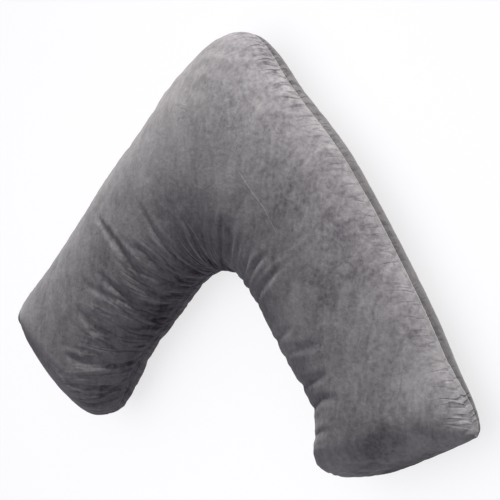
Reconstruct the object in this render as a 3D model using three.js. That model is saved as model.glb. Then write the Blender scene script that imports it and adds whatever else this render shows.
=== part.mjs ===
// A V-shaped pillow lying on its back: two V-shaped velour panels sewn together round the edge and filled.
// Millimetres. +X runs to the right leg, +Y to the apex and +Z out of the front face.

import * as THREE from 'three';
import { mergeGeometries, mergeVertices } from 'three/addons/utils/BufferGeometryUtils.js';

// Fullness of the pillow above and below the seam
const CROWN_HEIGHT = 85;
const CROWN_ROUNDNESS = 2.25;
const CROWN_WIDTH = 299;
const CROWN_WIDTH_POWER = 0.4;
const SEAM_HEIGHT = 77;
const UNDERSIDE_DEPTH = 88;
const UNDERSIDE_ROUNDNESS = 2.3;

// Ends of the legs, where the filling falls away to the end seam between two soft corners
const END_FALL = 75;
const END_FALL_ROUNDNESS = 2.2;
const UNDERSIDE_FALL_POWER = 0.8;
const CORNER_LENGTH = 52;
const OUTER_CORNER_INSET = 6;
const INNER_CORNER_INSET = 58;

// The seam lies a little below the fabric on both sides of it
const SEAM_DRAW_IN = 2.5;

// Stations along the V, closer together at its two ends, and strips across each panel
const STATIONS = 98;
const STATION_CROWDING = 0.5;
const STRIPS = 27;

// Seam outline from the left leg's end past the apex to the right leg's end, measured from the crotch
const SECTIONS = [
  { outerX: -493, outerY: -115, innerX: -278, innerY: -283 },
  { outerX: -451, outerY: -66, innerX: -241, innerY: -229 },
  { outerX: -393, outerY: -3, innerX: -195, innerY: -148 },
  { outerX: -319, outerY: 87, innerX: -136, innerY: -78 },
  { outerX: -259, outerY: 162, innerX: -75, innerY: -8 },
  { outerX: -184, outerY: 244, innerX: -30, innerY: 17 },
  { outerX: -100, outerY: 336, innerX: -13, innerY: 20 },
  { outerX: 6, outerY: 395, innerX: 5, innerY: 21 },
  { outerX: 108, outerY: 312, innerX: 19, innerY: 20 },
  { outerX: 194, outerY: 236, innerX: 34, innerY: 20 },
  { outerX: 255, outerY: 165, innerX: 80, innerY: -19 },
  { outerX: 314, outerY: 90, innerX: 145, innerY: -96 },
  { outerX: 379, outerY: 2, innerX: 211, innerY: -172 },
  { outerX: 435, outerY: -82, innerX: 222, innerY: -247 },
  { outerX: 487, outerY: -156, innerX: 298, innerY: -261 },
];

// Main folds of the front panel, each from its far end over its middle to its end near the seam
const FOLDS = [
  { farX: -245, farY: 91, midX: -185, midY: 49, nearX: -144, nearY: 13, reach: 15, depth: 3 },
  { farX: -239, farY: -31, midX: -181, midY: -45, nearX: -135, nearY: -75, reach: 16, depth: 6 },
  { farX: -171, farY: -34, midX: -128, midY: -48, nearX: -105, nearY: -50, reach: 13, depth: 4 },
  { farX: -238, farY: -105, midX: -180, midY: -99, nearX: -155, nearY: -110, reach: 14, depth: 5 },
  { farX: -286, farY: -153, midX: -228, midY: -158, nearX: -198, nearY: -168, reach: 15, depth: 6 },
  { farX: -290, farY: -202, midX: -241, midY: -202, nearX: -216, nearY: -207, reach: 13, depth: 5 },
  { farX: -35, farY: 103, midX: -14, midY: 69, nearX: -2, nearY: 31, reach: 13, depth: 7 },
  { farX: 12, farY: 104, midX: 8, midY: 71, nearX: 5, nearY: 33, reach: 11, depth: 4 },
  { farX: 50, farY: 111, midX: 42, midY: 75, nearX: 24, nearY: 30, reach: 12, depth: 5 },
  { farX: 108, farY: 66, midX: 90, midY: 44, nearX: 46, nearY: 12, reach: 13, depth: 6 },
  { farX: 172, farY: 47, midX: 138, midY: 23, nearX: 92, nearY: -20, reach: 14, depth: 4 },
  { farX: 255, farY: -57, midX: 220, midY: -66, nearX: 165, nearY: -96, reach: 14, depth: 4 },
  { farX: 267, farY: -98, midX: 241, midY: -110, nearX: 188, nearY: -130, reach: 14, depth: 5 },
  { farX: 292, farY: -132, midX: 262, midY: -133, nearX: 212, nearY: -165, reach: 14, depth: 5 },
  { farX: 287, farY: -176, midX: 262, midY: -182, nearX: 222, nearY: -205, reach: 13, depth: 4 },
  { farX: 308, farY: -221, midX: 345, midY: -218, nearX: 396, nearY: -196, reach: 14, depth: 4 },
];

function sectionCurve(columnX, columnY) {
  return new THREE.SplineCurve(SECTIONS.map((row) => new THREE.Vector2(row[columnX], row[columnY])));
}

// Outer and inner seam points of every station, with the corners of the leg ends rounded off
function seamStations() {
  const outerCurve = sectionCurve('outerX', 'outerY');
  const innerCurve = sectionCurve('innerX', 'innerY');
  const stations = [];
  let run = 0;
  for (let k = 0; k <= STATIONS; k += 1) {
    const even = k / STATIONS;
    const along = even - (STATION_CROWDING * Math.sin(2 * Math.PI * even)) / (2 * Math.PI);
    const outer = outerCurve.getPoint(along);
    const inner = innerCurve.getPoint(along);
    const uncut = outer.clone().add(inner).multiplyScalar(0.5);
    run += k > 0 ? stations[k - 1].uncut.distanceTo(uncut) : 0;
    stations.push({ outer, inner, uncut, run });
  }
  for (const station of stations) {
    station.fromEnd = Math.min(station.run, run - station.run);
    const left = Math.max(1 - station.fromEnd / CORNER_LENGTH, 0);
    const rounding = 1 - Math.sqrt(1 - left ** 2);
    station.outward = station.outer.clone().sub(station.inner).normalize();
    station.outer.addScaledVector(station.outward, -OUTER_CORNER_INSET * rounding - SEAM_DRAW_IN);
    station.inner.addScaledVector(station.outward, INNER_CORNER_INSET * rounding + SEAM_DRAW_IN);
  }
  return stations;
}

function crownShare(across, roundness) {
  return (1 - Math.abs(across) ** roundness) ** (1 / roundness);
}

// One point of the smooth filled body; across runs from 1 on the outer seam to -1 on the inner one
function bodyPoint(station, across, isFront) {
  const width = station.outer.distanceTo(station.inner);
  const left = Math.max(1 - station.fromEnd / END_FALL, 0);
  const fall = (1 - left ** END_FALL_ROUNDNESS) ** 0.5;
  const rise = CROWN_HEIGHT * (width / CROWN_WIDTH) ** CROWN_WIDTH_POWER * fall;
  const drop = UNDERSIDE_DEPTH * fall ** UNDERSIDE_FALL_POWER;
  const z = isFront
    ? SEAM_HEIGHT + rise * crownShare(across, CROWN_ROUNDNESS)
    : Math.max(SEAM_HEIGHT - drop * crownShare(across, UNDERSIDE_ROUNDNESS), 0);
  const onSeam = Math.abs(across) === 1;
  const reach = (across * width) / 2 + (onSeam ? 0 : Math.sign(across) * SEAM_DRAW_IN);
  const middle = station.outer.clone().add(station.inner).multiplyScalar(0.5);
  const plan = middle.addScaledVector(station.outward, reach);
  return new THREE.Vector3(plan.x, plan.y, z);
}

// The front or the back panel as a grid of stations by strips, facing out of the filling
function panelGeometry(stations, isFront) {
  const points = [];
  const faces = [];
  for (const [k, station] of stations.entries()) {
    for (let j = 0; j <= STRIPS; j += 1) {
      const turn = j === STRIPS ? -1 : Math.cos((Math.PI * j) / STRIPS);
      const across = Math.sign(turn) * Math.abs(turn) ** (2 / CROWN_ROUNDNESS);
      points.push(bodyPoint(station, across, isFront));
      if (k < STATIONS && j < STRIPS) {
        const a = k * (STRIPS + 1) + j;
        const b = a + 1;
        const c = b + STRIPS + 1;
        const d = a + STRIPS + 1;
        faces.push(...(isFront ? [a, b, c, a, c, d] : [a, c, b, a, d, c]));
      }
    }
  }
  return new THREE.BufferGeometry().setFromPoints(points).setIndex(faces);
}

function distanceToFold(plan, fold) {
  const line = [
    new THREE.Vector2(fold.farX, fold.farY),
    new THREE.Vector2(fold.midX, fold.midY),
    new THREE.Vector2(fold.nearX, fold.nearY),
  ];
  const distances = [0, 1].map((k) => {
    const run = line[k + 1].clone().sub(line[k]);
    const offset = plan.clone().sub(line[k]);
    const share = THREE.MathUtils.clamp(offset.dot(run) / run.lengthSq(), 0, 1);
    return offset.addScaledVector(run, -share).length();
  });
  return Math.min(...distances);
}

// Depth of all the folds at a point; they fade out between the seam and the floor
function foldDepth(point) {
  const plan = new THREE.Vector2(point.x, point.y);
  const onFront = THREE.MathUtils.smoothstep(point.z, SEAM_HEIGHT / 2, SEAM_HEIGHT);
  const troughs = FOLDS.map((fold) => fold.depth * Math.exp(-((distanceToFold(plan, fold) / fold.reach) ** 2)));
  return onFront * troughs.reduce((sum, depth) => sum + depth, 0);
}

// Both panels joined along the seam, with the folds pressed in, standing over the middle of its plan
function pillowGeometry() {
  const stations = seamStations();
  const panels = [true, false].map((isFront) => panelGeometry(stations, isFront));
  const geometry = mergeVertices(mergeGeometries(panels));
  geometry.computeVertexNormals();
  const { position, normal } = geometry.attributes;
  for (let k = 0; k < position.count; k += 1) {
    const point = new THREE.Vector3().fromBufferAttribute(position, k);
    const outward = new THREE.Vector3().fromBufferAttribute(normal, k);
    const pressed = point.clone().addScaledVector(outward, -foldDepth(point));
    position.setXYZ(k, pressed.x, pressed.y, pressed.z);
  }
  geometry.computeBoundingBox();
  const middle = geometry.boundingBox.getCenter(new THREE.Vector3());
  geometry.translate(-middle.x, -middle.y, -geometry.boundingBox.min.z);
  geometry.computeVertexNormals();
  return geometry;
}

const velour = new THREE.MeshStandardMaterial({ color: '#757374', roughness: 0.95, metalness: 0 });
const pillow = new THREE.Mesh(pillowGeometry(), velour);
pillow.name = 'pillow';

const object = new THREE.Group();
object.add(pillow);

export default object;
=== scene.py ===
"""A V-shaped pillow in grey crushed velour, lying on its back on a pale floor."""

import bpy
import numpy as np
from mathutils import Matrix, Vector
from mathutils.kdtree import KDTree


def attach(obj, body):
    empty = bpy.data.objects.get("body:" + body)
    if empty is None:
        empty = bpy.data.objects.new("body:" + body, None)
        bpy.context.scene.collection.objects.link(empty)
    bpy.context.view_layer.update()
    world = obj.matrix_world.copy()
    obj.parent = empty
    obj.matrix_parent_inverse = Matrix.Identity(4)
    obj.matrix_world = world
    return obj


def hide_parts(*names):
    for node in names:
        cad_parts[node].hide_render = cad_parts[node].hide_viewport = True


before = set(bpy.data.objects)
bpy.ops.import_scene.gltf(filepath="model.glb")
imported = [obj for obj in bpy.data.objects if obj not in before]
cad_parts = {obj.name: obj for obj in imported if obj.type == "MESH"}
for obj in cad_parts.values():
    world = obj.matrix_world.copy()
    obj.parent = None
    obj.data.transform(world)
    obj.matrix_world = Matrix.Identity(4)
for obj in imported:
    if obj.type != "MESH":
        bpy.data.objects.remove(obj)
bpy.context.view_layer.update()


# Pillow: two V-shaped panels of grey crushed velour, sewn together right round and filled tight with
# fibre. The seam is a plain knife edge with no piping, so it draws the fabric into puckers; deeper folds
# gather at the crotch and on the inner sides of the legs, where the filling crowds together.

# Plan of the seam in metres from the crotch, from the left leg's end past the apex to the right leg's
# end: outer seam x, y and inner seam x, y
seam_sections = np.array([
    (-0.493, -0.115, -0.278, -0.283),
    (-0.451, -0.066, -0.241, -0.229),
    (-0.393, -0.003, -0.195, -0.148),
    (-0.319, 0.087, -0.136, -0.078),
    (-0.259, 0.162, -0.075, -0.008),
    (-0.184, 0.244, -0.030, 0.017),
    (-0.100, 0.336, -0.013, 0.020),
    (0.006, 0.395, 0.005, 0.021),
    (0.108, 0.312, 0.019, 0.020),
    (0.194, 0.236, 0.034, 0.020),
    (0.255, 0.165, 0.080, -0.019),
    (0.314, 0.090, 0.145, -0.096),
    (0.379, 0.002, 0.211, -0.172),
    (0.435, -0.082, 0.222, -0.247),
    (0.487, -0.156, 0.298, -0.261),
])
crotch = np.array([0.0032, -0.0670])
seam_height = 0.077
crown_height = 0.085
crown_roundness = 2.25
crown_width = 0.299
crown_width_power = 0.4
underside_depth = 0.088
underside_roundness = 2.3
underside_fall_power = 0.8
end_fall = 0.075
end_fall_roundness = 2.2
corner_length = 0.052
outer_corner_inset = 0.006
inner_corner_inset = 0.058
stations = 560
station_crowding = 0.35
strips = 76

# Folds of the front panel in metres from the crotch: points from the far end to the near one by the
# seam, then the reach to each side and the depth
front_folds = [
    ([(-0.245, 0.091), (-0.185, 0.049), (-0.144, 0.013)], 0.0062, 0.0013),
    ([(-0.191, 0.057), (-0.166, 0.040), (-0.145, 0.027)], 0.0045, 0.0007),
    ([(-0.140, 0.046), (-0.117, 0.037), (-0.095, 0.015)], 0.0050, 0.0012),
    ([(-0.113, 0.097), (-0.098, 0.076), (-0.066, 0.043)], 0.0056, 0.0013),
    ([(-0.209, -0.015), (-0.171, -0.036), (-0.140, -0.045)], 0.0056, 0.0011),
    ([(-0.239, -0.031), (-0.181, -0.045), (-0.151, -0.056), (-0.130, -0.078)], 0.0062, 0.0030),
    ([(-0.171, -0.030), (-0.128, -0.048), (-0.105, -0.050)], 0.0056, 0.0021),
    ([(-0.238, -0.105), (-0.180, -0.099), (-0.155, -0.110)], 0.0056, 0.0024),
    ([(-0.212, -0.117), (-0.171, -0.125)], 0.0045, 0.0013),
    ([(-0.286, -0.153), (-0.260, -0.161), (-0.228, -0.158), (-0.198, -0.168)], 0.0062, 0.0030),
    ([(-0.275, -0.187), (-0.232, -0.185), (-0.208, -0.188)], 0.0050, 0.0018),
    ([(-0.290, -0.202), (-0.241, -0.202), (-0.216, -0.207)], 0.0050, 0.0021),
    ([(-0.262, -0.218), (-0.222, -0.214)], 0.0045, 0.0015),
    ([(-0.293, -0.233), (-0.250, -0.236), (-0.232, -0.231)], 0.0050, 0.0015),
    ([(-0.035, 0.103), (-0.023, 0.087), (-0.014, 0.069), (-0.002, 0.031)], 0.0050, 0.0036),
    ([(0.012, 0.104), (0.005, 0.071), (0.004, 0.033)], 0.0045, 0.0018),
    ([(0.026, 0.098), (0.025, 0.081), (0.012, 0.040)], 0.0045, 0.0015),
    ([(0.050, 0.111), (0.042, 0.075), (0.024, 0.030)], 0.0045, 0.0024),
    ([(0.064, 0.092), (0.062, 0.069), (0.040, 0.030)], 0.0045, 0.0019),
    ([(0.086, 0.086), (0.079, 0.064), (0.056, 0.030)], 0.0045, 0.0015),
    ([(0.108, 0.066), (0.090, 0.037), (0.052, 0.008)], 0.0050, 0.0025),
    ([(0.143, 0.064), (0.123, 0.050), (0.072, 0.000)], 0.0056, 0.0029),
    ([(0.172, 0.047), (0.152, 0.032), (0.092, -0.020)], 0.0056, 0.0019),
    ([(0.194, -0.041), (0.164, -0.055), (0.122, -0.080)], 0.0056, 0.0017),
    ([(0.255, -0.057), (0.220, -0.066), (0.183, -0.076), (0.150, -0.096)], 0.0062, 0.0019),
    ([(0.267, -0.098), (0.241, -0.110), (0.188, -0.130)], 0.0062, 0.0025),
    ([(0.292, -0.132), (0.262, -0.133), (0.212, -0.165)], 0.0062, 0.0027),
    ([(0.287, -0.176), (0.262, -0.182), (0.222, -0.205)], 0.0056, 0.0018),
    ([(0.287, -0.209), (0.253, -0.219), (0.232, -0.232)], 0.0050, 0.0015),
    ([(0.308, -0.221), (0.345, -0.218), (0.372, -0.213), (0.396, -0.196)], 0.0062, 0.0019),
    ([(0.398, -0.185), (0.403, -0.194), (0.407, -0.204)], 0.0045, 0.0014),
    ([(0.374, -0.154), (0.383, -0.169)], 0.0045, 0.0007),
    ([(0.435, -0.118), (0.437, -0.145), (0.435, -0.167)], 0.0056, 0.0016),
    ([(0.285, -0.216), (0.320, -0.222), (0.352, -0.212)], 0.0050, 0.0013),
    ([(0.300, -0.240), (0.335, -0.232), (0.372, -0.222)], 0.0050, 0.0014),
]


def catmull_rom(rows, along):
    """Points on a uniform Catmull-Rom curve through the rows, at shares of the way along it."""
    last = len(rows) - 1
    place = np.clip(along, 0, 1) * last
    k = np.minimum(place.astype(int), last - 1)
    t = (place - k)[:, None]
    before, here = rows[np.maximum(k - 1, 0)], rows[k]
    there, after = rows[k + 1], rows[np.minimum(k + 2, last)]
    leave, arrive = (there - before) / 2, (after - here) / 2
    rise = 3 * (there - here) - 2 * leave - arrive
    turn = 2 * (here - there) + leave + arrive
    return here + t * (leave + t * (rise + t * turn))


def soft_step(low, high, value):
    """0 up to low and 1 from high on, with a smooth rise between them."""
    t = np.clip((value - low) / (high - low), 0, 1)
    return t * t * (3 - 2 * t)


def running_length(points):
    """Length from the first point along each line of an (n, ..., dims) array."""
    steps = np.linalg.norm(np.diff(points, axis=0), axis=-1)
    return np.concatenate([np.zeros((1, *steps.shape[1:])), np.cumsum(steps, axis=0)])


def pillow_body(stations, strips):
    """Smooth filled body as two grids, front and back, of (station, strip, xyz)."""
    even = np.linspace(0, 1, stations + 1)
    crowded = even - station_crowding * np.sin(2 * np.pi * even) / (2 * np.pi)
    rows = catmull_rom(seam_sections, crowded)
    outer, inner = rows[:, :2] + crotch, rows[:, 2:] + crotch
    run = running_length((outer + inner) / 2)
    from_end = np.minimum(run, run[-1] - run)
    outward = outer - inner
    outward /= np.linalg.norm(outward, axis=1, keepdims=True)
    left = np.clip(1 - from_end / corner_length, 0, 1)
    rounding = (1 - np.sqrt(1 - left**2))[:, None] * outward
    outer, inner = outer - outer_corner_inset * rounding, inner + inner_corner_inset * rounding
    width = np.linalg.norm(outer - inner, axis=1)
    fall = np.sqrt(1 - np.clip(1 - from_end / end_fall, 0, 1) ** end_fall_roundness)
    turn = np.cos(np.linspace(0, np.pi, strips + 1))
    turn[-1] = -1
    across = np.sign(turn) * np.abs(turn) ** (2 / crown_roundness)
    plan = ((outer + inner) / 2)[:, None] + ((outer - inner) / 2)[:, None] * across[None, :, None]
    front = np.empty((stations + 1, strips + 1, 3))
    back = np.empty_like(front)
    front[..., :2] = back[..., :2] = plan
    rise = crown_height * (width / crown_width) ** crown_width_power * fall
    drop = underside_depth * fall**underside_fall_power
    front_share = (1 - np.abs(across) ** crown_roundness) ** (1 / crown_roundness)
    back_share = (1 - np.abs(across) ** underside_roundness) ** (1 / underside_roundness)
    front[..., 2] = seam_height + rise[:, None] * front_share
    back[..., 2] = np.maximum(seam_height - drop[:, None] * back_share, 0)
    return front, back


# Rows and columns of a grid that lie on the seam
seam_edges = (np.s_[0, :], np.s_[-1, :], np.s_[:, 0], np.s_[:, -1])


def outward_normals(front, back):
    """Normals of both grids, alike on the seam that they share."""
    normals = []
    for grid, side in ((front, 1), (back, -1)):
        normal = side * np.cross(np.gradient(grid, axis=1), np.gradient(grid, axis=0))
        normals.append(normal / np.maximum(np.linalg.norm(normal, axis=-1, keepdims=True), 1e-12))
    for edge in seam_edges:
        shared = normals[0][edge] + normals[1][edge]
        shared /= np.maximum(np.linalg.norm(shared, axis=-1, keepdims=True), 1e-12)
        normals[0][edge] = normals[1][edge] = shared
    return normals


def press(front, back, front_depth, back_depth):
    """Both grids moved in along their normals, with the seam halfway between the two depths."""
    front_depth, back_depth = front_depth.copy(), back_depth.copy()
    for edge in seam_edges:
        front_depth[edge] = back_depth[edge] = (front_depth[edge] + back_depth[edge]) / 2
    front_normals, back_normals = outward_normals(front, back)
    return front - front_normals * front_depth[..., None], back - back_normals * back_depth[..., None]


front, back = pillow_body(stations, strips)

# The outer corner of the left leg's end stands out as a small ear
ear = np.array([-0.493, -0.120]) + crotch
ear_reach = 0.032
ear_pull = np.array([-0.0075, -0.0020, 0.0080])
for grid in (front, back):
    to_ear = np.linalg.norm(grid[..., :2] - ear, axis=-1)
    grid += np.exp(-((to_ear / ear_reach) ** 2))[..., None] * ear_pull

# Folds pressed into the panels: each is a groove between two low ridges, in shares of its reach and depth
groove_width = 0.8
groove_power = 1.4
ridge_place = 2.2
ridge_height = 0.2


def fold_depth(grid, folds):
    """How deep all the folds press in at each point, with a low ridge to each side."""
    plan = grid[..., :2] - crotch
    depth = np.zeros(plan.shape[:2])
    for points, reach, deep in folds:
        line = catmull_rom(np.array(points), np.linspace(0, 1, 24))
        low, high = line.min(0) - 4 * reach, line.max(0) + 4 * reach
        near = np.all((plan > low) & (plan < high), axis=-1)
        spots = plan[near]
        gap = np.linalg.norm(spots[:, None] - line[None], axis=-1)
        nearest = gap.argmin(1)
        distance = gap.min(1) / (groove_width * reach)
        strength = 0.25 + 0.75 * soft_step(0, 12, nearest)
        ridge = ridge_height * np.exp(-((distance - ridge_place) ** 2))
        depth[near] += deep * strength * (np.exp(-(distance**groove_power)) - ridge)
    return depth * soft_step(seam_height - 0.030, seam_height - 0.005, grid[..., 2])


to_inner_seam = running_length(front.transpose(1, 0, 2)[::-1])[::-1].T
front_depth = fold_depth(front, front_folds) * (0.35 + 0.65 * soft_step(0, 0.03, to_inner_seam))
front, back = press(front, back, front_depth, np.zeros(back.shape[:2]))


# One closed mesh of both panels, which share their seam points; the order of each cell's corners turns
# the front and the back panel outward
facing_out = (0, 1, 2, 3), (3, 2, 1, 0)


def quads(values, order):
    """Values at the four corners of every cell of a grid, turned to the order given."""
    corners = (values[:-1, :-1], values[:-1, 1:], values[1:, 1:], values[1:, :-1])
    stacked = np.stack([corners[k] for k in order], axis=2)
    return stacked.reshape(-1, *stacked.shape[2:])


def sewn_mesh(name, front, back):
    """One closed, smooth mesh of both panels' grids."""
    rows, columns = front.shape[:2]
    front_ids = np.arange(rows * columns).reshape(rows, columns)
    back_ids = front_ids.copy()
    inside = np.zeros((rows, columns), bool)
    inside[1:-1, 1:-1] = True
    back_ids[inside] = rows * columns + np.arange(inside.sum())
    points = np.concatenate([front.reshape(-1, 3), back[inside]])
    faces = np.concatenate([quads(front_ids, facing_out[0]), quads(back_ids, facing_out[1])])
    mesh = bpy.data.meshes.new(name)
    mesh.from_pydata(points.tolist(), [], faces.tolist())
    mesh.polygons.foreach_set("use_smooth", [True] * len(mesh.polygons))
    mesh.update()
    return mesh


def vertex_array(mesh, part="co"):
    """Points or normals of a mesh as rows of x, y and z."""
    values = np.empty(len(mesh.vertices) * 3)
    if part == "co":
        mesh.vertices.foreach_get("co", values)
    else:
        mesh.vertex_normals.foreach_get("vector", values)
    return values.reshape(-1, 3)


# Cover filled by pressure: the velour has more length than the drawn-in seam leaves it, most of all on
# the inner sides of the legs, so the filling throws the rest into folds
cover_cell = 0.005
settling_frames = 24
wrinkle_share = 0.38
deepest_wrinkle = 0.0028
highest_wrinkle = 0.0018


def simulated_wrinkles(front, back):
    """Points of a remeshed cover and how far the simulation moves each out of the smooth surface."""
    cover = bpy.data.objects.new("cover_in_simulation", sewn_mesh("cover_in_simulation", front, back))
    bpy.context.collection.objects.link(cover)
    remesh = cover.modifiers.new("remesh", "REMESH")
    remesh.mode = "VOXEL"
    remesh.voxel_size = cover_cell
    remeshed = cover.evaluated_get(bpy.context.evaluated_depsgraph_get())
    even_mesh = bpy.data.meshes.new_from_object(remeshed)
    cover.modifiers.remove(remesh)
    cover.data = even_mesh
    start = vertex_array(even_mesh)
    normals = vertex_array(even_mesh, "normal")

    panel_tree = KDTree(front[..., 0].size)
    for k, point in enumerate(front.reshape(-1, 3)):
        panel_tree.insert(point, k)
    panel_tree.balance()
    columns = front.shape[1]
    held = cover.vertex_groups.new(name="held")
    spare = cover.vertex_groups.new(name="spare")
    seam_line = np.concatenate([front[:, 0], front[:, -1], front[0], front[-1]])
    seam_tree = KDTree(len(seam_line))
    for k, point in enumerate(seam_line):
        seam_tree.insert(point, k)
    seam_tree.balance()
    for k, point in enumerate(start):
        share = (panel_tree.find(point)[1] % columns) / (columns - 1)
        spare.add([k], 1 - soft_step(0.25, 0.85, share), "REPLACE")
        if seam_tree.find(point)[2] < 0.004 or point[2] < 0.002:
            held.add([k], 1, "REPLACE")

    cloth = cover.modifiers.new("cloth", "CLOTH")
    stuff = cloth.settings
    stuff.quality = 6
    stuff.mass = 0.25
    stuff.tension_stiffness = 20
    stuff.compression_stiffness = 20
    stuff.shear_stiffness = 8
    stuff.bending_stiffness = 0.4
    stuff.tension_damping = stuff.compression_damping = stuff.shear_damping = 8
    stuff.air_damping = 4
    stuff.use_pressure = True
    stuff.uniform_pressure_force = 5
    stuff.effector_weights.gravity = 0
    stuff.vertex_group_mass = "held"
    stuff.pin_stiffness = 5
    stuff.vertex_group_shrink = "spare"
    stuff.shrink_min = -0.13
    stuff.shrink_max = -0.03
    scene = bpy.context.scene
    cloth.point_cache.frame_start = 1
    cloth.point_cache.frame_end = settling_frames
    for moment in range(1, settling_frames + 1):
        scene.frame_set(moment)
    filled = cover.evaluated_get(bpy.context.evaluated_depsgraph_get())
    settled = bpy.data.meshes.new_from_object(filled)
    moved = vertex_array(settled) - start
    out = (moved * normals).sum(1)
    scene.frame_set(1)

    ends = np.empty(len(even_mesh.edges) * 2, int)
    even_mesh.edges.foreach_get("vertices", ends)
    ends = ends.reshape(-1, 2)
    ends = np.concatenate([ends, ends[:, ::-1]])
    count = np.maximum(np.bincount(ends[:, 0], minlength=len(start)), 1)
    swell = out.copy()
    for _ in range(60):
        around = np.bincount(ends[:, 0], swell[ends[:, 1]], len(start))
        swell = 0.5 * swell + 0.5 * around / count
    bpy.data.objects.remove(cover)
    return start, out - swell


def spread(points, values, grid):
    """Values at scattered points carried over to a grid of points."""
    tree = KDTree(len(points))
    for k, point in enumerate(points):
        tree.insert(point, k)
    tree.balance()
    carried = np.empty(grid.shape[:2])
    for at in np.ndindex(carried.shape):
        near = tree.find_n(grid[at], 4)
        weights = np.array([1 / (gap + 1e-4) ** 2 for _, _, gap in near])
        carried[at] = (weights * values[[k for _, k, _ in near]]).sum() / weights.sum()
    return carried


def seam_gaps(grid):
    """Distance over the fabric from the outer seam, the inner seam, the nearer end and the left end."""
    over = running_length(grid.transpose(1, 0, 2)).T
    along = running_length(grid)
    return over, over[:, -1:] - over, np.minimum(along, along[-1:] - along), along


even = np.linspace(0, 1, stations + 1)
right_leg = soft_step(0.52, 0.62, even)[:, None]

points, wrinkles = simulated_wrinkles(front, back)
wrinkles = np.clip(wrinkle_share * wrinkles, -deepest_wrinkle, highest_wrinkle)
pulls = []
for grid in (front, back):
    from_outer, from_inner, from_ends, along = seam_gaps(grid)
    taut = 0.2 + 0.8 * soft_step(0.0, 0.04, np.minimum(from_outer, from_inner))
    pulls.append(-spread(points, wrinkles, grid) * taut * (1 - 0.6 * right_leg))
pulls[1] *= soft_step(0.0, 0.02, back[..., 2])
front, back = press(front, back, *pulls)


# Gathers: folds that start at the seam and run across the panel, closest on the inner sides. They lean
# from the station lines toward the leg ends; lean is metres along the leg per metre from the inner seam
lean_at = np.array([0, 0.25, 0.45, 0.75, 1])
lean = np.array([-0.85, -0.25, 0, 0.4, 0.5])


def gathers(grid, from_seam, pace_strip, spacing, length, reach, deep, seed):
    """Depth of a row of folds that fade out away from the seam; ranges are least and most in metres."""
    rng = np.random.default_rng(seed)
    step = np.maximum(np.linalg.norm(np.gradient(grid, axis=0), axis=-1), 1e-5)
    pace = running_length(grid[:, pace_strip])
    station = np.arange(len(grid))
    depth = np.zeros(grid.shape[:2])
    at = rng.uniform(*spacing)
    while at < pace[-1]:
        start = np.interp(at, pace, station)
        slant = np.interp(start, lean_at * stations, lean) + rng.uniform(-0.2, 0.2)
        wave, phase = rng.uniform(0.001, 0.004), rng.uniform(0, 6.28)
        reaches, deeps, lengths = rng.uniform(*reach), rng.uniform(*deep), rng.uniform(*length)
        ids = np.abs(station - start) < 40
        gap = from_seam[ids]
        drift = slant * gap + wave * (np.sin(gap / 0.020 + phase) - np.sin(phase))
        off = ((station[ids][:, None] - start) * step[ids] - drift) / reaches
        fade = (0.4 + 0.6 * soft_step(0, 0.014, gap)) * (1 - soft_step(0.3, 1, gap / lengths))
        depth[ids] += deeps * fade * np.exp(-(np.abs(off) ** 1.25))
        at += rng.uniform(*spacing)
    return depth


# How far the seam slips below the widest line, in metres: on the outer side at shares of the way along,
# on the inner side of the left leg and at both ends; and the groove that the stitching draws
outer_slip_at = np.array([0.46, 0.50, 0.53, 0.57, 0.61, 0.68, 0.86, 0.90, 0.94, 1])
outer_slips = np.array([0, 0.012, 0.007, 0.001, 0.002, 0.008, 0.008, 0.017, 0.028, 0.030])
left_inner_slip = 0.011
end_slip = 0.007
seam_groove_depth = 0.0016
seam_groove_reach = 0.0040


def to_seam(grid):
    """Distance over the fabric from the seam; negative on the front panel's side of it."""
    side = -1 if grid is front else 1
    gaps = np.stack(seam_gaps(grid)[:3])
    outer_slip = np.interp(even, outer_slip_at, outer_slips)
    inner_slip = left_inner_slip * (1 - soft_step(0.40, 0.50, even))
    slips = np.stack([outer_slip, inner_slip, np.full(len(even), end_slip)])[..., None]
    nearness = (gaps + 0.004) ** -2
    return side * gaps.min(0) - (nearness * slips).sum(0) / nearness.sum(0)


# Gathers on the inner side of each leg, at the left leg's end, on the outer side and across both ends
left_gathers = {
    "spacing": (0.008, 0.022), "length": (0.05, 0.20), "reach": (0.0026, 0.0050), "deep": (0.0010, 0.0036),
}
right_gathers = {
    "spacing": (0.008, 0.024), "length": (0.02, 0.10), "reach": (0.0025, 0.0050), "deep": (0.0004, 0.0019),
}
left_end_gathers = {
    "spacing": (0.005, 0.009), "length": (0.08, 0.22), "reach": (0.0025, 0.0035), "deep": (0.0008, 0.0018),
}
outer_gathers = {
    "spacing": (0.010, 0.026), "length": (0.02, 0.07), "reach": (0.0035, 0.0060), "deep": (0.0002, 0.0009),
}
cross_gathers = {
    "spacing": (0.010, 0.024), "length": (0.015, 0.05), "reach": (0.003, 0.005), "deep": (0.0003, 0.0012),
}

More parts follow.
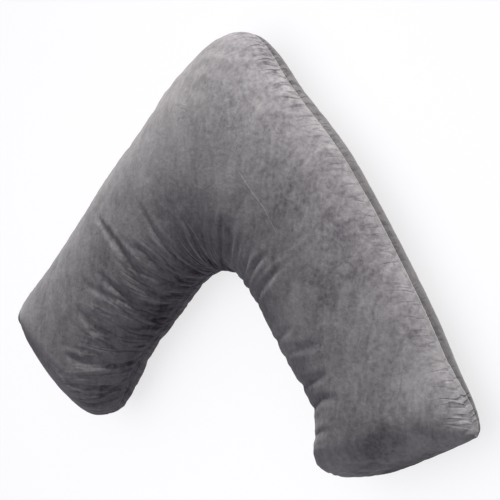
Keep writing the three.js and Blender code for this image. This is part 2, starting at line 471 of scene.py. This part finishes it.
# The outer seam draws the panel in most at both sides of the apex and toward the leg ends
outer_draw_at = np.array([0, 0.15, 0.35, 0.49, 0.54, 0.60, 0.88, 0.94, 1])
outer_draw = np.interp(even, outer_draw_at, [2.2, 2.2, 1, 1, 2.6, 1, 1, 2.6, 1.6])[:, None]
depths = []
for grid in (front, back):
    from_outer, from_inner, from_ends, along = seam_gaps(grid)
    left_folds = gathers(grid, from_inner, strips, **left_gathers, seed=4)
    right_folds = gathers(grid, from_inner, strips, **right_gathers, seed=5)
    end_folds = gathers(grid, from_inner, strips, **left_end_gathers, seed=7)
    outer_side = gathers(grid, from_outer, 0, **outer_gathers, seed=6)
    end_side = gathers(grid.transpose(1, 0, 2), from_ends.T, 2, **cross_gathers, seed=8).T
    folds = left_folds * (1 - right_leg) * (0.45 + 0.55 * soft_step(0.06, 0.14, along))
    folds += right_folds * right_leg
    folds += end_folds * (1 - soft_step(0.09, 0.16, along))
    folds += outer_side * outer_draw + end_side * (1 - soft_step(0.05, 0.08, from_ends))
    if grid is back:
        folds *= (0.3 + 0.7 * (1 - soft_step(0.0, 0.014, np.minimum(from_inner, from_ends))))
        folds *= soft_step(0.0, 0.02, grid[..., 2])
    groove = seam_groove_depth * np.exp(-((to_seam(grid) / seam_groove_reach) ** 2))
    depths.append(folds + groove)
front, back = press(front, back, *depths)

pillow_mesh = sewn_mesh("pillow_cover", front, back)

# Patches of painted light and shade on the pile: plan x and y from the crotch, reach, and how much
# brighter, negative for darker
painted_light_shade_patches = (
    (0.210, 0.145, 0.070, -0.22),
    (0.280, 0.060, 0.070, -0.13),
    (0.110, 0.212, 0.050, -0.13),
    (-0.060, 0.290, 0.060, 0.10),
    (0.030, 0.350, 0.035, -0.11),
    (-0.110, 0.210, 0.070, 0.16),
    (0.025, 0.150, 0.060, 0.08),
    (0.020, 0.045, 0.050, -0.14),
    (-0.215, 0.010, 0.050, -0.18),
    (-0.105, -0.030, 0.035, 0.10),
    (-0.200, -0.190, 0.055, 0.16),
    (-0.430, -0.110, 0.050, 0.08),
    (-0.295, -0.225, 0.050, 0.20),
    (0.172, -0.041, 0.040, 0.14),
    (0.380, 0.000, 0.050, -0.13),
    (0.345, -0.128, 0.060, -0.12),
    (0.290, -0.155, 0.040, -0.10),
    (0.440, -0.149, 0.050, 0.06),
    (0.285, -0.225, 0.040, 0.12),
    (0.312, -0.200, 0.030, 0.14),
    (0.342, -0.236, 0.042, -0.16),
)

# Where the back panel gets painted shade, where the velour gets painted light and shade, where its fine
# puckers lie, and which way these run
spots = {"past_seam": [], "back_nap": [], "outer_puckers": [], "inner_puckers": [], "brushed": []}
runs = {"outer_run": [], "inner_run": []}
outer_lean = 0.25 * soft_step(0.46, 0.52, even)[:, None]
inner_lean = np.interp(even, lean_at, lean)[:, None]
right_side = soft_step(0.48, 0.53, even)[:, None] * (1 - soft_step(0.93, 1, even))[:, None]
for grid, order in zip((front, back), facing_out):
    from_outer, from_inner, from_ends, along = seam_gaps(grid)
    near_outer = 1 - soft_step(0.012, 0.05, from_outer)
    tight = np.exp(-(((even - 0.545) / 0.035) ** 2)) + np.exp(-(((even - 0.935) / 0.035) ** 2))
    over_seam = to_seam(grid)
    beyond_seam = soft_step(-0.001, 0.001, over_seam)
    spots["past_seam"].append(over_seam)
    # Painted shade on the back panel: least on the left leg, most toward the right leg's end
    back_shade_along = np.interp(even, [0.42, 0.50, 0.62, 0.75], [0.2, 0.8, 0.8, 1])
    spots["back_nap"].append(np.broadcast_to(back_shade_along[:, None], along.shape))
    spots["outer_puckers"].append((0.45 + 0.75 * tight)[:, None] * near_outer)
    near_inner = soft_step(0, 0.006, from_inner)
    near_inner *= 1 - soft_step(0.04, 0.15 - 0.06 * right_leg, from_inner)
    near_inner *= soft_step(0, 0.03 + 0.04 * right_leg, from_ends)
    spots["inner_puckers"].append((1 - 0.5 * right_leg) * near_inner)
    # Painted shade on the left leg's inner side and at the right leg's end, painted light along the right
    # side's outer seam, and the patches of painted light and shade
    painted_light_shade = -0.30 * (1 - right_leg) * (1 - soft_step(0.005, 0.075, from_inner)) * (1 - beyond_seam)
    painted_light_shade *= 0.35 + 0.65 * soft_step(0.10, 0.22, along)
    painted_light_shade += 0.13 * right_side * (1 - soft_step(0.004, 0.034, from_outer)) * (1 - beyond_seam)
    at_right_end = right_leg * (1 - soft_step(0.0, 0.050, from_ends))
    painted_light_shade -= 0.34 * at_right_end * soft_step(0.02, 0.08, from_outer)
    for x, y, reach, amount in painted_light_shade_patches:
        painted_light_shade += amount * np.exp(-(((grid[..., :2] - crotch - (x, y)) / reach) ** 2).sum(-1))
    spots["brushed"].append(painted_light_shade)
    along_outer = np.broadcast_to(running_length(grid[:, 4])[:, None], along.shape)
    along_middle = np.broadcast_to(running_length(grid[:, strips // 2])[:, None], along.shape)
    outer_run = np.stack([along_outer + outer_lean * from_outer, from_outer], axis=-1)
    inner_run = np.stack([along_middle - inner_lean * from_inner, from_inner], axis=-1)
    runs["outer_run"].append(quads(outer_run, order))
    runs["inner_run"].append(quads(inner_run, order))
inside = np.s_[1:-1, 1:-1]
for name, (on_front, on_back) in spots.items():
    spot_layer = pillow_mesh.attributes.new(name, "FLOAT", "POINT")
    spot_layer.data.foreach_set("value", np.concatenate([on_front.ravel(), on_back[inside].ravel()]))
for name, parts in runs.items():
    pillow_mesh.uv_layers.new(name=name).data.foreach_set("uv", np.concatenate(parts).ravel())

pillow = bpy.data.objects.new("pillow_cover", pillow_mesh)
bpy.context.collection.objects.link(pillow)

velour = bpy.data.materials.new("grey_crushed_velour")
velour.use_nodes = True
nodes, links = velour.node_tree.nodes, velour.node_tree.links
nodes.clear()
shader = nodes.new("ShaderNodeBsdfPrincipled")
output = nodes.new("ShaderNodeOutputMaterial")
links.new(shader.outputs["BSDF"], output.inputs["Surface"])
shader.inputs["Roughness"].default_value = 0.9
shader.inputs["Specular IOR Level"].default_value = 0.15
shader.inputs["Sheen Weight"].default_value = 0.2
shader.inputs["Sheen Roughness"].default_value = 0.45
shader.inputs["Sheen Tint"].default_value = (0.80, 0.78, 0.79, 1)
place = nodes.new("ShaderNodeTexCoord")


def noise(scale, detail, roughness, stretch=(1, 1, 1), distortion=0.0, run=None):
    """Noise in the pillow's own coordinates, or over the fabric by the name of a run."""
    space = place.outputs["Object"]
    if run:
        over = nodes.new("ShaderNodeUVMap")
        over.uv_map = run
        space = over.outputs["UV"]
    squeeze = nodes.new("ShaderNodeMapping")
    squeeze.inputs["Scale"].default_value = stretch
    links.new(space, squeeze.inputs["Vector"])
    texture = nodes.new("ShaderNodeTexNoise")
    texture.inputs["Scale"].default_value = scale
    texture.inputs["Detail"].default_value = detail
    texture.inputs["Roughness"].default_value = roughness
    texture.inputs["Distortion"].default_value = distortion
    links.new(squeeze.outputs["Vector"], texture.inputs["Vector"])
    return texture.outputs["Fac"]


def worked(operation, *values):
    """Result of a Math node on numbers and sockets."""
    node = nodes.new("ShaderNodeMath")
    node.operation = operation
    for slot, value in zip(node.inputs, values):
        if isinstance(value, (int, float)):
            slot.default_value = value
        else:
            links.new(value, slot)
    return node.outputs["Value"]


def soft_range(value, low, high):
    """0 at low rising to 1 at high, smoothly; falling where low is the greater."""
    node = nodes.new("ShaderNodeMapRange")
    node.interpolation_type = "SMOOTHSTEP"
    node.inputs["From Min"].default_value = min(low, high)
    node.inputs["From Max"].default_value = max(low, high)
    node.inputs["To Min"].default_value = 0 if low < high else 1
    node.inputs["To Max"].default_value = 1 if low < high else 0
    links.new(value, node.inputs["Value"])
    return node.outputs["Result"]


def attribute(name):
    """Values that the mesh carries under this name."""
    node = nodes.new("ShaderNodeAttribute")
    node.attribute_name = name
    return node.outputs["Fac"]


# Lie of the crushed pile, in patches, blotches and specks, with the creases where it is bent over; their
# darkening in colour is painted shade
lie = worked("MULTIPLY_ADD", noise(9, 4, 0.6, distortion=0.6), 0.75, -0.54)
lie = worked("MULTIPLY_ADD", noise(38, 2, 0.6, distortion=2.0), 0.42, lie)
lie = worked("MULTIPLY_ADD", noise(75, 3, 0.6, (1, 0.3, 0.6), 1.0), 0.50, lie)
lie = worked("MULTIPLY_ADD", noise(170, 2, 0.6), 0.40, lie)
creases = worked("ABSOLUTE", worked("SUBTRACT", noise(36, 3, 0.6, (1, 0.45, 0.7), 0.5), 0.5))
creases = worked("MULTIPLY", soft_range(creases, 0.06, 0.0), soft_range(noise(7, 2, 0.5), 0.44, 0.66))

# Fine cracks that the stitching draws across the outer seam, and wrinkles along the inner one: relief, and
# painted shade in the cracks and in the wrinkles' furrows
cracks = worked("ABSOLUTE", worked("SUBTRACT", noise(52, 2, 0.5, (1, 0.2, 1), 0.2, "outer_run"), 0.5))
cracks = worked("MULTIPLY", soft_range(cracks, 0.07, 0.0), attribute("outer_puckers"))
ridges = worked("ABSOLUTE", worked("SUBTRACT", noise(48, 2, 0.5, (1, 0.16, 1), 0.3, "inner_run"), 0.5))
furrow_shade = worked("MULTIPLY", soft_range(ridges, 0.07, 0.0), attribute("inner_puckers"))
ridges = worked("MULTIPLY", ridges, attribute("inner_puckers"))

# Press marks left by the packing: thin straight lines between two plan points from the crotch, and
# their half width
marks = 0
for start, end, half_width in (
    ((0.084, 0.182), (0.110, 0.154), 0.0024),
    ((0.110, 0.154), (0.134, 0.133), 0.0026),
    ((0.134, 0.133), (0.160, 0.099), 0.0013),
    ((0.260, 0.004), (0.265, -0.053), 0.0016),
):
    run = Vector(end) - Vector(start)
    along_mark = nodes.new("ShaderNodeMapping")
    along_mark.vector_type = "TEXTURE"
    along_mark.inputs["Location"].default_value = (start[0] + crotch[0], start[1] + crotch[1], 0)
    along_mark.inputs["Rotation"].default_value = (0, 0, np.arctan2(run.y, run.x))
    links.new(place.outputs["Object"], along_mark.inputs["Vector"])
    split = nodes.new("ShaderNodeSeparateXYZ")
    links.new(along_mark.outputs["Vector"], split.inputs["Vector"])
    beside = soft_range(worked("ABSOLUTE", split.outputs["Y"]), half_width, 0.0)
    from_middle = worked("ABSOLUTE", worked("SUBTRACT", split.outputs["X"], run.length / 2))
    within = soft_range(from_middle, 0.55 * run.length, 0.45 * run.length)
    marks = worked("MULTIPLY_ADD", beside, within, marks)

# Back panel beyond the seam, darkened with painted shade, and the line of stitching
past_seam = attribute("past_seam")
beyond = worked("MULTIPLY", soft_range(past_seam, -0.0006, 0.0006), attribute("back_nap"))
marks = worked("MULTIPLY", marks, soft_range(past_seam, 0.0, -0.001))
# The stitching line: relief, and painted shade in its groove
stitched = soft_range(worked("ABSOLUTE", past_seam), 0.0024, 0.0)

shades = nodes.new("ShaderNodeValToRGB")
shades.color_ramp.elements[0].color = (0.0262, 0.0228, 0.0300, 1)
shades.color_ramp.elements[1].color = (0.236, 0.227, 0.234, 1)
# Painted light and shade from the mesh added to the pile's tone
shade = worked("ADD", lie, attribute("brushed"))
# Painted shade in the creases and the cracks
shade = worked("MULTIPLY_ADD", creases, -0.06, worked("MULTIPLY_ADD", cracks, -0.25, shade))
# Painted shade along the stitching line
shade = worked("MULTIPLY_ADD", stitched, -0.15, shade)
# Painted shade in the furrows along the inner seam
shade = worked("MULTIPLY_ADD", marks, 0.20, worked("MULTIPLY_ADD", furrow_shade, -0.24, shade))
links.new(shade, shades.inputs["Fac"])
# Painted shade: the back panel's colour multiplied darker
back_shade_mix = nodes.new("ShaderNodeMix")
back_shade_mix.data_type = "RGBA"
back_shade_mix.blend_type = "MULTIPLY"
back_shade_mix.inputs["B"].default_value = (0.50, 0.49, 0.48, 1)
links.new(beyond, back_shade_mix.inputs["Factor"])
links.new(shades.outputs["Color"], back_shade_mix.inputs["A"])
links.new(back_shade_mix.outputs["Result"], shader.inputs["Base Color"])

# Relief of the pile, the puckers, the marks and the stitching, in metres
relief = nodes.new("ShaderNodeBump")
relief.inputs["Strength"].default_value = 1
relief.inputs["Distance"].default_value = 1
height = worked("MULTIPLY_ADD", noise(420, 2, 0.6), 0.0002, worked("MULTIPLY", lie, 0.0006))
height = worked("MULTIPLY_ADD", creases, -0.0002, height)
height = worked("MULTIPLY_ADD", cracks, -0.0009, height)
height = worked("MULTIPLY_ADD", ridges, 0.0110, height)
height = worked("MULTIPLY_ADD", stitched, -0.0012, height)
links.new(worked("MULTIPLY_ADD", marks, 0.0002, height), relief.inputs["Height"])
links.new(relief.outputs["Normal"], shader.inputs["Normal"])
pillow.data.materials.append(velour)

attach(pillow, "root")
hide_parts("pillow")


# Floor: a plain pale surface with no edge in sight.
floor_mesh = bpy.data.meshes.new("floor")
floor_mesh.from_pydata([(-60, -60, 0), (60, -60, 0), (60, 60, 0), (-60, 60, 0)], [], [(0, 1, 2, 3)])
floor = bpy.data.objects.new("floor", floor_mesh)
bpy.context.collection.objects.link(floor)
pale = bpy.data.materials.new("pale_floor")
pale.use_nodes = True
pale.node_tree.nodes["Principled BSDF"].inputs["Base Color"].default_value = (0.90, 0.90, 0.90, 1)
pale.node_tree.nodes["Principled BSDF"].inputs["Roughness"].default_value = 0.9
floor_mesh.materials.append(pale)
floor.visible_diffuse = False


# Light: a soft key lamp low over the apex side for the pillow, a broad overhead lamp for the floor,
# and a faint pale room all round. The floor takes no light from the key, so that it stays even.
def soft_lamp(name, place, aim, size, power, lit, colour=(1, 1, 1), casts_shadow=True):
    """A square lamp turned to its aim, which lights one object alone."""
    lamp = bpy.data.lights.new(name, "AREA")
    lamp.size = size
    lamp.energy = power
    lamp.color = colour
    holder = bpy.data.objects.new(name, lamp)
    holder.location = place
    holder.rotation_euler = (Vector(aim) - Vector(place)).to_track_quat("-Z", "Y").to_euler()
    bpy.context.collection.objects.link(holder)
    takes_light = bpy.data.collections.new(name + "_lights")
    takes_light.objects.link(lit)
    holder.light_linking.receiver_collection = takes_light
    holder.visible_camera = False
    if not casts_shadow:
        holder.light_linking.blocker_collection = takes_light


soft_lamp("key_lamp", (0.30, 3.05, 0.85), (0, 0, 0.05), 1.2, 316, pillow, (1, 0.997, 0.965))
soft_lamp("left_fill", (-2.2, -1.6, 1.2), (0, 0, 0.05), 1.6, 23, pillow, (0.92, 0.89, 1))
soft_lamp("right_side_lamp", (2.6, 1.7, 0.40), (0.3, 0, 0.05), 1.0, 32, pillow)
soft_lamp("right_end_fill", (0.80, -0.78, 0.45), (0.42, -0.22, 0.08), 0.4, 2.5, pillow)
soft_lamp("floor_lamp", (0, 0, 4), (0, 0, 0), 4, 15, floor)
soft_lamp("even_floor_lamp", (0, 0, 4.2), (0, 0, 0), 4, 182, floor, casts_shadow=False)
room = bpy.data.worlds.new("room")
room.use_nodes = True
room.node_tree.nodes["Background"].inputs["Color"].default_value = (0.92, 0.885, 1, 1)
room.node_tree.nodes["Background"].inputs["Strength"].default_value = 0.27
bpy.context.scene.world = room
bpy.context.scene.view_settings.view_transform = "Standard"


# Camera: a long lens, to the right of the face normal and a little above it, with the apex up.
aim = Vector((crotch[0], crotch[1], seam_height))
turn, lift, roll = np.radians([42.529, 6.454, 3.234])
distance = 2.563
toward = Vector((np.sin(turn) * np.cos(lift), np.sin(lift), np.cos(turn) * np.cos(lift)))
level_right = Vector((0, 1, 0)).cross(toward).normalized()
level_up = toward.cross(level_right)
right = np.cos(roll) * level_right + np.sin(roll) * level_up
up = np.cos(roll) * level_up - np.sin(roll) * level_right
lens = bpy.data.cameras.new("camera")
lens.sensor_width = 36
lens.lens = 116.7
lens.shift_x = 0.041
lens.shift_y = 0.0685
camera = bpy.data.objects.new("camera", lens)
facing = Matrix((right, up, toward)).transposed().to_4x4()
camera.matrix_world = Matrix.Translation(aim + distance * toward) @ facing
bpy.context.collection.objects.link(camera)
bpy.context.scene.camera = camera
